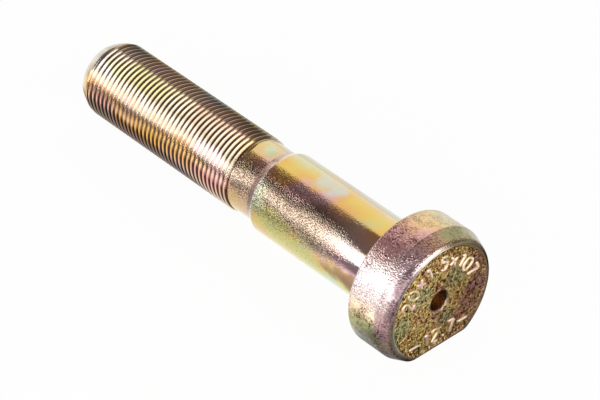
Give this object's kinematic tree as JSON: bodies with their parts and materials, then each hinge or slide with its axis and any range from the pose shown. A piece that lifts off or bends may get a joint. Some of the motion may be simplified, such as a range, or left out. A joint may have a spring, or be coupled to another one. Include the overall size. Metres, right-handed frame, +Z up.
{
  "type": "wheel stud",
  "caption": "Wheel stud with a D-shaped head that keeps it from turning, a plain fitting shank, a rolling neck and a long fine-threaded end with a bevelled tip.",
  "frame": {"origin": "on the surface the stud lies on, under the middle of its bounding box", "axes": "+X along the stud from its head to its tip, seen level; +Z up; the stud lies on its head's flat and on its tip, so its own axis dips by 1.66 degrees towards +X"},
  "size_m": [0.1202, 0.0344, 0.0305],
  "materials": {
    "yellow_zinc": "steel with an iridescent yellow-passivated zinc plating"
  },
  "bodies": {
    "root": {"wheel_stud": "yellow_zinc"}
  },
  "joints": []
}
